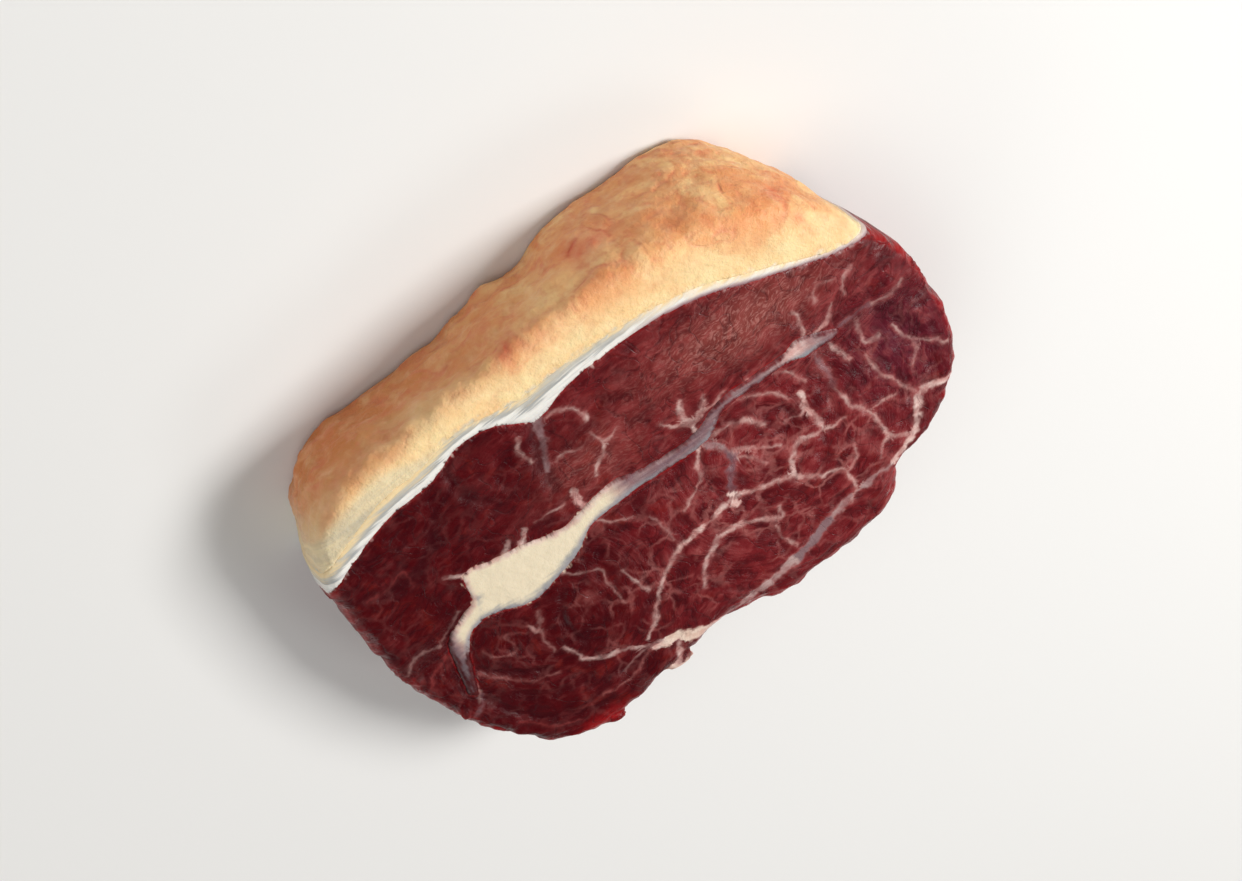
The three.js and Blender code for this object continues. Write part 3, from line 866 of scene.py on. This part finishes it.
def relief_tree():
    """Lumps, fibres and grit that follow a surface, on top of the relief kept on each vertex."""
    tree = bpy.data.node_groups.new("relief", "GeometryNodeTree")
    tree.interface.new_socket("Geometry", in_out="INPUT", socket_type="NodeSocketGeometry")
    sizes = {
        "Lump Height": 0.5, "Lump Size": 10.0, "Fibre Height": 0.2, "Fibre Width": 1.5, "Fibre Length": 10.0,
        "Grit Height": 0.15, "Grit Size": 2.0, "Seed": 0.0,
    }
    for name, value in sizes.items():
        tree.interface.new_socket(name, in_out="INPUT", socket_type=FLOAT).default_value = value
    tree.interface.new_socket("Finish", in_out="INPUT", socket_type="NodeSocketMaterial")
    tree.interface.new_socket("Geometry", in_out="OUTPUT", socket_type="NodeSocketGeometry")
    given = tree.nodes.new("NodeGroupInput").outputs
    out = tree.nodes.new("NodeGroupOutput").inputs

    def kept(name, kind="FLOAT"):
        return add(tree, "GeometryNodeInputNamedAttribute", {"Name": name}, data_type=kind).outputs[0]

    def waves(vector, size, detail):
        """Seeded noise from -1 to 1."""
        cloud = add(tree, "ShaderNodeTexNoise", {
            "Vector": vector, "W": given["Seed"], "Scale": calc(tree, "DIVIDE", 1.0, size), "Detail": detail,
        }, noise_dimensions="4D").outputs[0]
        return times_plus(tree, cloud, 4.0, -2.0)

    place = kept("cut", "FLOAT_VECTOR")
    x, y, z = add(tree, "ShaderNodeSeparateXYZ", {0: place}).outputs
    along = add(tree, "ShaderNodeCombineXYZ", {
        0: calc(tree, "DIVIDE", kept("across"), given["Fibre Width"]),
        1: calc(tree, "DIVIDE", x, given["Fibre Length"]),
        2: calc(tree, "DIVIDE", plus(tree, y, z), given["Fibre Length"]),
    }).outputs[0]
    lumps = times(tree, waves(place, given["Lump Size"], 1.0), given["Lump Height"])
    fibres = times(tree, waves(along, 1.0, 2.0), given["Fibre Height"])
    grit = times(tree, waves(place, given["Grit Size"], 2.0), given["Grit Height"])
    fine = plus(tree, fibres, grit)
    out_by = times_plus(tree, plus(tree, lumps, fine), kept("rough"), kept("relief"))
    normal = tree.nodes.new("GeometryNodeInputNormal").outputs[0]
    offset = vector_calc(tree, "SCALE", {0: normal, "Scale": times(tree, out_by, MM)})
    level = calc(tree, "DIVIDE", fine, plus(tree, given["Fibre Height"], given["Grit Height"]))
    marked = add(tree, "GeometryNodeStoreNamedAttribute", {
        "Geometry": given["Geometry"], "Name": "height", "Value": level,
    }, data_type="FLOAT", domain="POINT").outputs[0]
    moved = add(tree, "GeometryNodeSetPosition", {"Geometry": marked, "Offset": offset}).outputs[0]
    whole = add(tree, "GeometryNodeRealizeInstances", {"Geometry": moved}).outputs[0]
    finish = {"Geometry": whole, "Material": given["Finish"]}
    feed(tree, out["Geometry"], add(tree, "GeometryNodeSetMaterial", finish).outputs[0])
    return tree


relief = relief_tree()


def set_inputs(modifier, values):
    """Sets a modifier's inputs by their names, through their identifiers."""
    for item in modifier.node_group.interface.items_tree:
        if item.item_type == "SOCKET" and item.in_out == "INPUT" and item.name in values:
            modifier[item.identifier] = values[item.name]


def raise_relief(piece, material, **sizes):
    """Runs the relief over a piece, keeps it above the underside, and gives it its material."""
    modifier = piece.modifiers.new("relief", "NODES")
    modifier.node_group = relief
    set_inputs(modifier, {name.replace("_", " "): value for name, value in sizes.items()})
    set_inputs(modifier, {"Finish": material})
    applied(piece)
    points = places(piece.data)
    points[:, 2] = np.maximum(points[:, 2], 0)
    put_places(piece.data, points)
    piece.data.polygons.foreach_set("use_smooth", np.ones(len(piece.data.polygons), bool))


# ---------------------------------------------------------------- the four layers

surfaces = {node: tree_of(node) for node in ("lean_meat", "fat_cap", "silverskin", "gristle_seam")}


def seam_hold(x, y):
    """How far, in millimetres, flesh covers each side of the seam: where it is thin, and more on the hook."""
    thin = 0.5 + 0.45 * smooth((-14 - x) / 8)
    return thin * (1 - seam_cream(x, y)) + 0.8 * smooth((y - 6) / 14) * smooth((x - 53) / 4)


def skin_slate(x):
    """1 where the silverskin is thick and shows its blue-grey band of painted shade, 0 towards its thin end.
    """
    return 1 - smooth((-x - 5) / 20)


def unseen_beside(*others):
    """Says which vertices face the underside, or lie deep between this layer and the others."""
    def unseen(points, facing):
        deep = (points[:, 2] > HIDDEN_HEIGHTS[0]) & (points[:, 2] < HIDDEN_HEIGHTS[1])
        apart = np.min([distance_to(surfaces[o], points) for o in others], axis=0)
        return (facing[:, 2] < -0.8) | (deep & (apart < HIDDEN_GAP))
    return unseen


def nowhere(points, facing):
    """For a piece that is rounded nowhere."""
    return np.zeros(len(points))


def common_fields(piece, run):
    """Keeps each vertex's place on the cut, its depth times run, and gives places, facings and cut places."""
    points = places(piece.data)
    cut = cut_places(points)
    kept = cut.copy()
    kept[:, 2] *= run
    store(piece.data, cut=kept)
    return points, normals(piece.data), cut


def flesh_fields(x, y):
    """How the flesh runs and varies over the cut, where it shows on the lean or through the white tissue."""
    shaded = 0.45 * bell(x, y, 1, -28, 11, 8) + 0.25 * bell(x, y, -62, 1, 10, 10)
    return {
        "across": grain_across(x, y),
        # lighter towards the -x end, partly painted light that falls off towards +x, with painted shade in
        # the shaded patches
        "light": np.clip(smooth((30 - x) / 34) - shaded, 0, 1),
        "brown": np.clip(bell(x, y, -34, -24, 22, 8) + 0.5 * bell(x, y, 8, -14, 12, 7), 0, 1),
        "purple": bell(x, y, -62, 5, 13, 16),
    }


def seam_cream(x, y):
    """1 where the seam is thick and cream, 0 where it is thin and slate."""
    body = smooth((x - 4) / 9) * (1 - smooth((x - 54.5) / 4))
    knot = 0.85 * bell(x, y, -40.5, -8.5, 3.8, 4)
    return np.maximum(body, knot)


def seam_fray(x, y):
    """How frayed the seam's border is: less where the seam is thin."""
    return 0.4 + 0.6 * seam_cream(x, y)


def skin_fray(x):
    """How frayed the silverskin's border with the lean is: less towards its thin end."""
    return 0.6 + 0.4 * skin_slate(x)


def finish_piece(piece, node):
    """Puts a piece on the steak's one body, in place of its solid."""
    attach(piece, "root")
    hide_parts(node)


def build_lean():
    """The two muscles, with the strands and folds of the cut and the scraps on its rim."""
    unseen = unseen_beside("gristle_seam", "silverskin")
    piece = fine_mesh("lean", "lean_meat", LEAN_VOXEL, unseen, nowhere, SCRAPS)
    points, facing, cut = common_fields(piece, DEPTH_RUN)
    x, y, z = cut.T
    side, near, half, tone = nearest_line(cut, STRANDS)
    folds = [(width, width, depth, line) for depth, width, line in FOLDS]
    _, fold_near, fold_width, fold_depth = nearest_line(cut, folds)
    to_seam = distance_to(surfaces["gristle_seam"], points)
    to_skin = distance_to(surfaces["silverskin"], points)
    to_white = np.minimum(to_seam, to_skin)
    by_seam = to_seam < to_skin
    cream = seam_cream(x, y)
    up = smooth((facing[:, 2] - 0.2) / 0.6)
    down = smooth((-facing[:, 2] - 0.2) / 0.6)
    wall = 1 - up - down
    rim = smooth((facing[:, 2] - 0.1) / 0.3) * smooth((0.95 - facing[:, 2]) / 0.3) * (to_white > 4)
    # on the sides the thick strands end just below the rim, and the others grow thinner
    near += 4 * (half > 1.2) * smooth((27 - z) / 5)
    half *= 1 - 0.4 * smooth((26 - z) / 12)
    # strands and folds lie low, and the sides swell a little beside the white layers
    strand_dip = 0.15 * np.exp(-(near**2)) * np.minimum(half, 1) * up
    fold = np.exp(-((fold_near / fold_width) ** 2)) * fold_depth * up
    swell = 0.3 * (to_white < 2) * wall
    # the sides are redder than the cut, with painted light where the wet sides catch it, and the scrap at the
    # blunt end is the reddest
    by_rim = smooth((z - 22) / 5)
    red_and_lit_side = (1 - smooth((facing[:, 2] - 0.55) / 0.42)) * (0.55 + 0.45 * by_rim)
    red_and_lit_scrap = bell(x, y, 42, 55, 9, 3) * by_rim
    store(
        piece.data,
        side=side, near=near, half=half, tone=tone, fold=2 * fold,
        into=np.minimum(to_seam + seam_hold(x, y), to_skin),
        wall=np.maximum(red_and_lit_side, red_and_lit_scrap),
        net=np.clip(bell(x, y, -28, 20, 34, 24) + 0.5 * bell(x, y, 20, 25, 25, 18) + 0.15, 0, 1),
        edge_tone=np.where(by_seam, 1 - cream, 0.6 - 0.5 * skin_slate(x)),
        edge_cream=np.where(by_seam, 0.6 * cream * smooth(x / 10), 0.0),
        fray=np.where(by_seam, seam_fray(x, y), skin_fray(x)),
        relief=swell - (strand_dip + fold),
        rough=0.6 * up + wall * (to_white > 1.5) + 0.12 * down + 0.6 * rim,
        **flesh_fields(x, y),
    )
    raise_relief(
        piece, lean_material(), Lump_Height=0.55, Lump_Size=9.0, Fibre_Height=0.3, Fibre_Width=2.0,
        Fibre_Length=8.0, Grit_Height=0.3, Grit_Size=3.4, Seed=1.0,
    )
    finish_piece(piece, "lean_meat")


def build_fat():
    """The cap along one long side, round outside and cut flat at the top."""
    def outside(points, facing):
        return smooth((distance_to(surfaces["silverskin"], points) - 3) / 4) * (points[:, 2] > 2)

    piece = fine_mesh("fat", "fat_cap", FAT_VOXEL, unseen_beside("silverskin"), outside)
    points, facing, cut = common_fields(piece, 1.0)
    x, y, z = cut.T
    to_skin = distance_to(surfaces["silverskin"], points)
    up = smooth((facing[:, 2] - 0.35) / 0.5)
    down = smooth((-facing[:, 2] - 0.3) / 0.5)
    flush = sum(
        strength * np.exp(-(((points - at) / reach) ** 2).sum(axis=1)) for strength, at, reach in BLOTCHES
    )
    outer = (to_skin > 1.5) * (1 - up - down) * (1 - 0.4 * smooth(-x / 25))
    store(
        piece.data,
        across=0.8 * z - 0.6 * y + 0.15 * x,
        rim=smooth((14 - to_skin) / 12) * smooth((points[:, 2] - 14) / 12),
        flush=np.clip(flush, 0, 1),
        pale=np.maximum(smooth((7 * smooth((x - 26) / 24) - to_skin) / 3), bell(x, z, 72, 14, 6, 16)),
        ashen=0.65 * bell(x, y, 54, -35, 10, 2.5),
        # painted shade, darker and browner towards the blunt end
        tan=smooth((x + 25) / 80),
        to_skin=to_skin,
        slate=skin_slate(x),
        layer=y - 0.12 * x,
        relief=0.3 * (to_skin < 1.0),
        rough=np.clip(0.35 * up + outer + 0.1 * down, 0, 1) * smooth(to_skin / 4),
    )
    raise_relief(
        piece, fat_material(), Lump_Height=0.9, Lump_Size=9.0, Fibre_Height=0.4, Fibre_Width=4.0,
        Fibre_Length=12.0, Grit_Height=0.5, Grit_Size=4.0, Seed=2.0,
    )
    finish_piece(piece, "fat_cap")


def build_silverskin():
    """The band between the fat and the lean, which stands a little proud on the sides."""
    unseen = unseen_beside("lean_meat", "fat_cap")
    piece = fine_mesh("silverskin_band", "silverskin", SKIN_VOXEL, unseen, nowhere)
    points, facing, cut = common_fields(piece, DEPTH_RUN)
    x, y = cut.T[:2]
    up = smooth((facing[:, 2] - 0.3) / 0.5)
    to_lean = distance_to(surfaces["lean_meat"], points)
    to_fat = distance_to(surfaces["fat_cap"], points)
    store(
        piece.data,
        into=-to_lean,
        lean_side=(to_fat / (to_fat + to_lean)) ** (1 + 0.5 * smooth((x - 20) / 20)),
        slate=skin_slate(x),
        fray=skin_fray(x),
        layer=y - 0.12 * x,
        relief=0.5 - 0.35 * up,
        rough=np.full(len(points), 0.5),
        **flesh_fields(x, y),
    )
    raise_relief(
        piece, silverskin_material(), Lump_Height=0.15, Lump_Size=6.0, Fibre_Height=0.15, Fibre_Width=1.6,
        Fibre_Length=20.0, Grit_Height=0.08, Grit_Size=2.0, Seed=3.0,
    )
    finish_piece(piece, "silverskin")


def seam_middle(x, y):
    """The y of the seam's middle at each x, from the seam's own vertices."""
    edges = np.arange(x.min(), x.max(), 1.5)
    bins = np.digitize(x, edges)
    used = np.unique(bins)
    return np.interp(x, [x[bins == b].mean() for b in used], [y[bins == b].mean() for b in used])


def build_seam():
    """The gristle between the two muscles, from the knot to the hook."""
    piece = fine_mesh("seam", "gristle_seam", SEAM_VOXEL, unseen_beside("lean_meat"), nowhere)
    points, facing, cut = common_fields(piece, DEPTH_RUN)
    x, y = cut.T[:2]
    cream = seam_cream(x, y)
    store(
        piece.data,
        into=seam_hold(x, y) - distance_to(surfaces["lean_meat"], points),
        edge_tone=1 - cream,
        edge_cream=cream * smooth(x / 10),
        shade=smooth((y - seam_middle(x, y)) / 2) * smooth((60 - x) / 6),
        slate=0.75 * smooth((x - 57) / 2.5) * smooth((y - 7) / 7),
        fray=seam_fray(x, y),
        layer=y,
        relief=0.6 - 0.4 * smooth(facing[:, 2]),
        rough=np.full(len(points), 0.5),
        **flesh_fields(x, y),
    )
    raise_relief(
        piece, gristle_material(), Lump_Height=0.2, Lump_Size=6.0, Fibre_Height=0.1, Fibre_Width=1.5,
        Fibre_Length=8.0, Grit_Height=0.2, Grit_Size=2.2, Seed=4.0,
    )
    finish_piece(piece, "gristle_seam")


build_lean()
build_fat()
build_silverskin()
build_seam()


# ---------------------------------------------------------------- floor, light and camera

VIEW_TILT = math.radians(40)  # of the line of sight from straight down, towards the fat cap
VIEW_RIGHT = (-0.828, 0.561)  # the picture's right, by the cut's length and by the slope of the view
VIEW_DISTANCE = 545 * MM
VIEW_AIM = Vector((1.8, -17.0, 29.0)) * MM
LENS = 73.0


def add_floor():
    """A pale floor, 4 metres across, under the steak."""
    mesh = bpy.data.meshes.new("floor")
    mesh.from_pydata([(-2, -2, 0), (2, -2, 0), (2, 2, 0), (-2, 2, 0)], [], [(0, 1, 2, 3)])
    floor = add_object("floor", mesh)
    material, _, shader = new_material("pale_floor")
    set_shader(shader, Base_Color=srgb(232, 230, 226), Roughness=0.8)
    mesh.materials.append(material)


def add_light(name, place, size, power):
    """A soft square light at a place in metres, turned to the steak."""
    light = bpy.data.lights.new(name, "AREA")
    light.size = size
    light.energy = power
    made = add_object(name, light)
    made.location = place
    made.rotation_euler = (-Vector(place)).to_track_quat("-Z", "Y").to_euler()


def add_world(color, strength):
    """Even light from all round."""
    world = bpy.data.worlds.new("studio")
    world.use_nodes = True
    set_shader(world.node_tree.nodes["Background"], Color=color, Strength=strength)
    bpy.context.scene.world = world


def add_camera():
    """The photograph's view, from over the fat cap."""
    camera = add_object("camera", bpy.data.cameras.new("camera"))
    sight = Vector((0, -math.sin(VIEW_TILT), math.cos(VIEW_TILT)))
    slope = Vector((0, math.cos(VIEW_TILT), math.sin(VIEW_TILT)))
    right = (VIEW_RIGHT[0] * Vector((1, 0, 0)) + VIEW_RIGHT[1] * slope).normalized()
    turn = Matrix((right, sight.cross(right), sight)).transposed().to_4x4()
    camera.matrix_world = Matrix.Translation(VIEW_AIM + sight * VIEW_DISTANCE) @ turn
    camera.data.lens = LENS
    camera.data.clip_start = 0.01
    bpy.context.scene.camera = camera


add_floor()
add_light("key_light", (-0.75, -0.02, 0.8), size=0.4, power=11.4)
add_light("fill_light", (0.5, -0.5, 0.9), size=0.9, power=3.5)
add_light("sheen_light", (-0.35, 0.6, 0.7), size=0.25, power=1.0)
add_light("rim_light", (0.7, 0.35, 0.3), size=0.5, power=1.1)
add_world(color=(0.95, 0.97, 1.0, 1), strength=0.14)
add_camera()
bpy.context.scene.view_settings.view_transform = "Standard"
